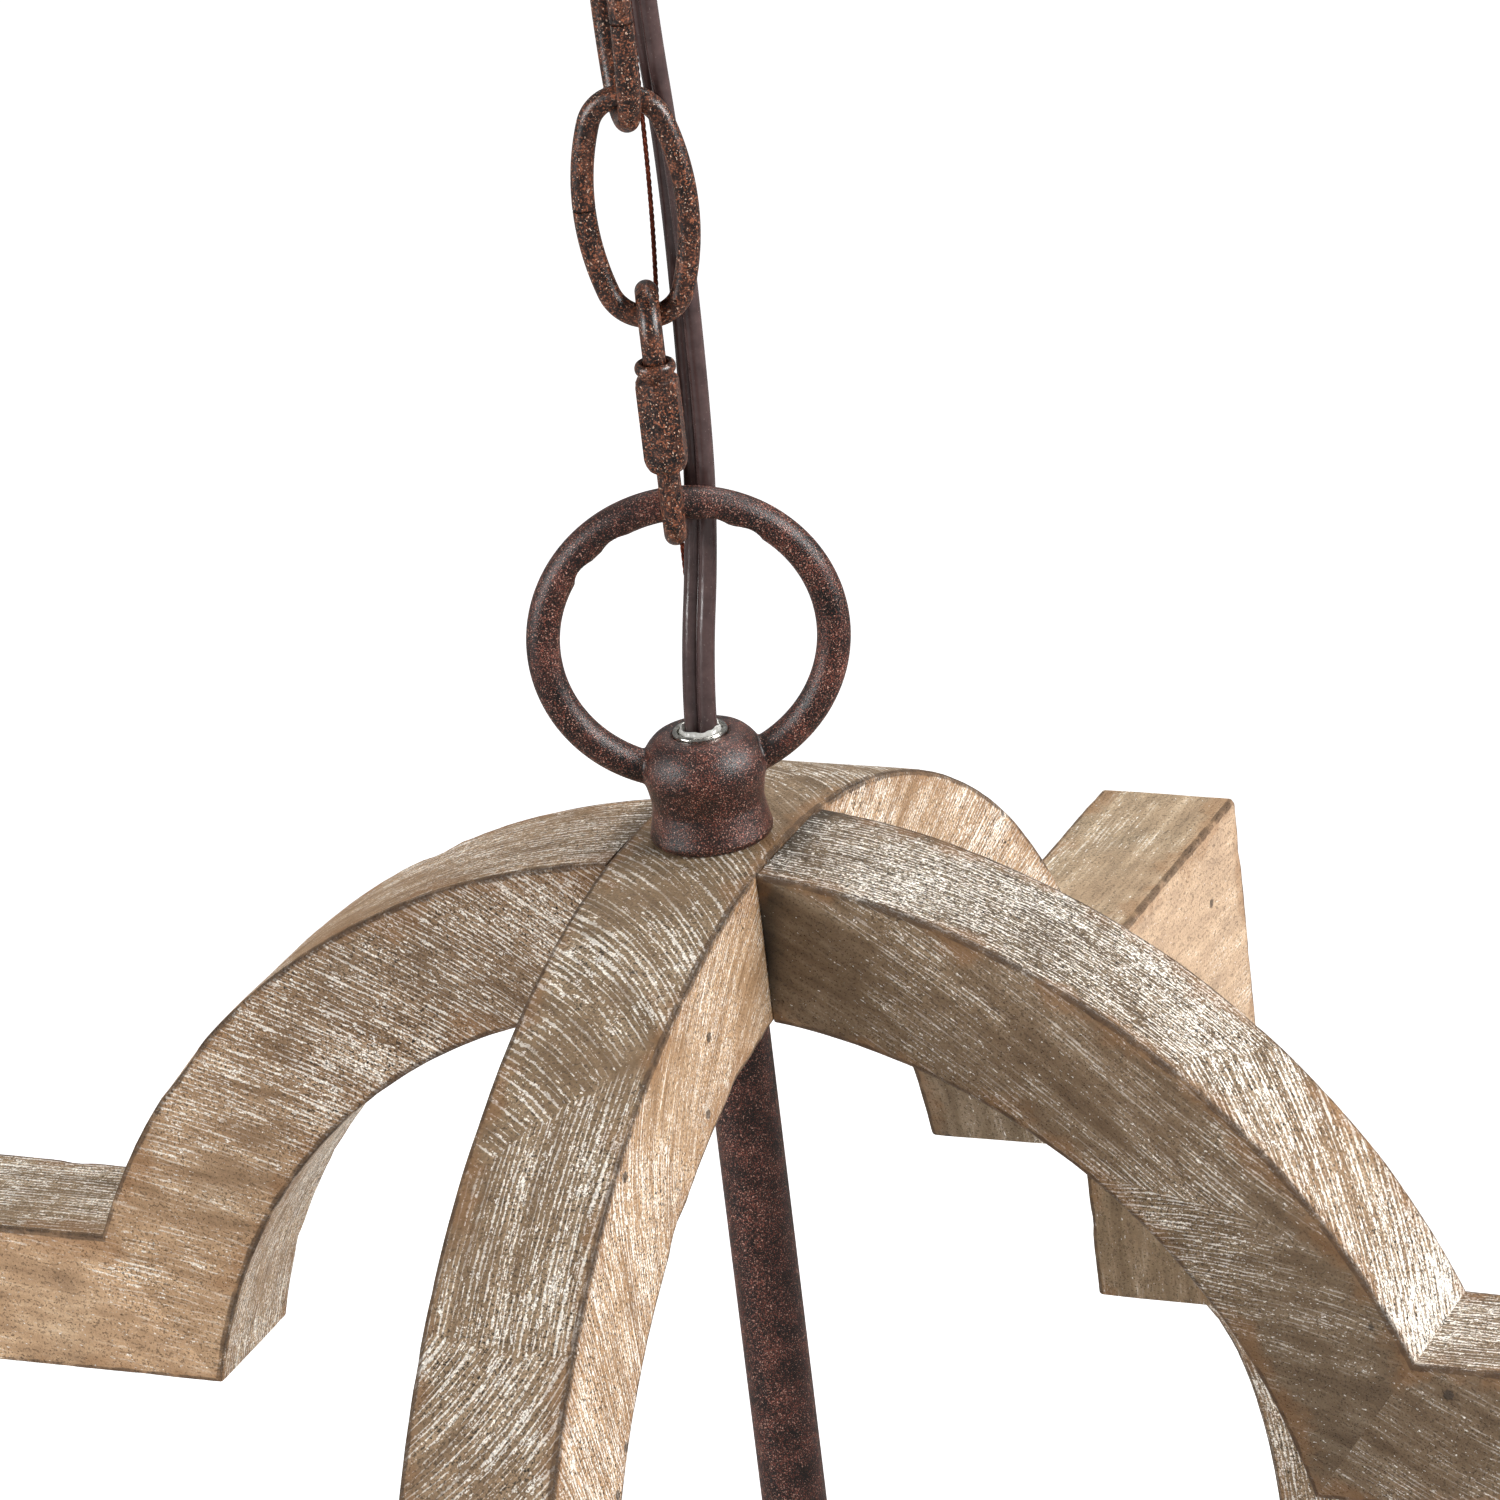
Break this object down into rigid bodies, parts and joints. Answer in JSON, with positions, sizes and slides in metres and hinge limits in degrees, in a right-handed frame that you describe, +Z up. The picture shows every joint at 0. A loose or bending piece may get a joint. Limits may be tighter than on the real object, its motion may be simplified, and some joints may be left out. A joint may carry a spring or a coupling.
{
  "type": "lantern chandelier",
  "caption": "Hanging lantern chandelier: crossed barbed-quatrefoil wooden frames under a rust-brown ring, chain and ceiling canopy, with candle lights on curved arms inside.",
  "frame": {"origin": "on the hanging axis in the ceiling's plane, in the middle of the mounting strap's slots", "axes": "+Z up along the hanging axis; +Y to the rear along the long frame; +X to the right along the cross frame"},
  "size_m": [0.512, 0.512, 0.7366],
  "materials": {
    "weathered_wood": "weathered, dry brushed with white",
    "dowel_wood": "bare",
    "chain_iron": "rust brown with orange and pale specks",
    "rust_iron": "dark rust brown, fine speckle, satin",
    "zinc_steel": "zinc plated",
    "brown_flex": "glossy brown insulation",
    "bare_copper": "bare twisted copper, dulled",
    "clear_bushing": "clear plastic in a bright eyelet",
    "holder_plastic": "moulded",
    "candle_sleeve": "aged ivory",
    "bulb_glass": "clear",
    "lamp_brass": "bright",
    "filament": "matt yellow"
  },
  "bodies": {
    "canopy": {"mounting_strap": "zinc_steel", "ground_screw": "zinc_steel", "canopy_nipple": "zinc_steel", "nipple_nut": "zinc_steel", "canopy_dome": "rust_iron", "canopy_collar": "rust_iron", "canopy_loop": "rust_iron"},
    "upper_link": {"upper_link": "chain_iron"},
    "lower_link": {"lower_link": "chain_iron"},
    "quick_link": {"quick_link": "chain_iron"},
    "quick_link_nut": {"quick_link_nut": "chain_iron"},
    "lantern": {"arm_1": "rust_iron", "arm_2": "rust_iron", "arm_3": "rust_iron", "arm_4": "rust_iron", "arm_nuts": "zinc_steel", "bulb_bases": "lamp_brass", "bulb_filaments": "filament", "bulb_glass_1": "bulb_glass", "bulb_glass_2": "bulb_glass", "bulb_glass_3": "bulb_glass", "bulb_glass_4": "bulb_glass", "candle_sleeve_1": "candle_sleeve", "candle_sleeve_2": "candle_sleeve", "candle_sleeve_3": "candle_sleeve", "candle_sleeve_4": "candle_sleeve", "cord_bushing": "clear_bushing", "drip_pans": "rust_iron", "finial": "rust_iron", "frame_dowels": "dowel_wood", "ground_wire": "bare_copper", "hanging_loop": "rust_iron", "hub_collar": "rust_iron", "hub_cover": "rust_iron", "hub_cup": "rust_iron", "inner_leads": "brown_flex", "lamp_holders": "holder_plastic", "left_bottom_arch": "weathered_wood", "left_bottom_corner": "weathered_wood", "left_side_arch": "weathered_wood", "left_top_arch": "weathered_wood", "left_top_corner": "weathered_wood", "long_bottom_arch": "weathered_wood", "long_front_arch": "weathered_wood", "long_front_bottom_corner": "weathered_wood", "long_front_top_corner": "weathered_wood", "long_rear_arch": "weathered_wood", "long_rear_bottom_corner": "weathered_wood", "long_rear_top_corner": "weathered_wood", "long_top_arch": "weathered_wood", "power_cord": "brown_flex", "right_bottom_arch": "weathered_wood", "right_bottom_corner": "weathered_wood", "right_side_arch": "weathered_wood", "right_top_arch": "weathered_wood", "right_top_corner": "weathered_wood", "stem": "rust_iron", "top_nut": "zinc_steel", "top_washer": "zinc_steel", "wire_connectors": "holder_plastic"}
  },
  "joints": [
    {"name": "upper_link_swing", "type": "hinge", "parent": "canopy", "child": "upper_link", "pos_m": [0, 0, -0.0715], "axis": [0.8993, 0.4374, 0], "range_deg": [-25, 25], "deforming": ["power_cord", "ground_wire"]},
    {"name": "lower_link_swing", "type": "hinge", "parent": "upper_link", "child": "lower_link", "pos_m": [0, 0, -0.10255], "axis": [-0.5784, 0.8157, 0], "range_deg": [-25, 25], "deforming": ["power_cord", "ground_wire"]},
    {"name": "quick_link_swing", "type": "hinge", "parent": "lower_link", "child": "quick_link", "pos_m": [0, 0, -0.13385], "axis": [0.9705, 0.2409, 0], "range_deg": [-25, 25], "deforming": ["power_cord", "ground_wire"]},
    {"name": "lantern_swing", "type": "hinge", "parent": "quick_link", "child": "lantern", "pos_m": [0, 0, -0.16865], "axis": [-0.4374, 0.8993, 0], "range_deg": [-25, 25], "deforming": ["power_cord", "ground_wire"]},
    {"name": "quick_link_nut_screw", "type": "slide", "parent": "quick_link", "child": "quick_link_nut", "axis": [0, 0, -1], "range_m": [0, 0.0053]}
  ]
}
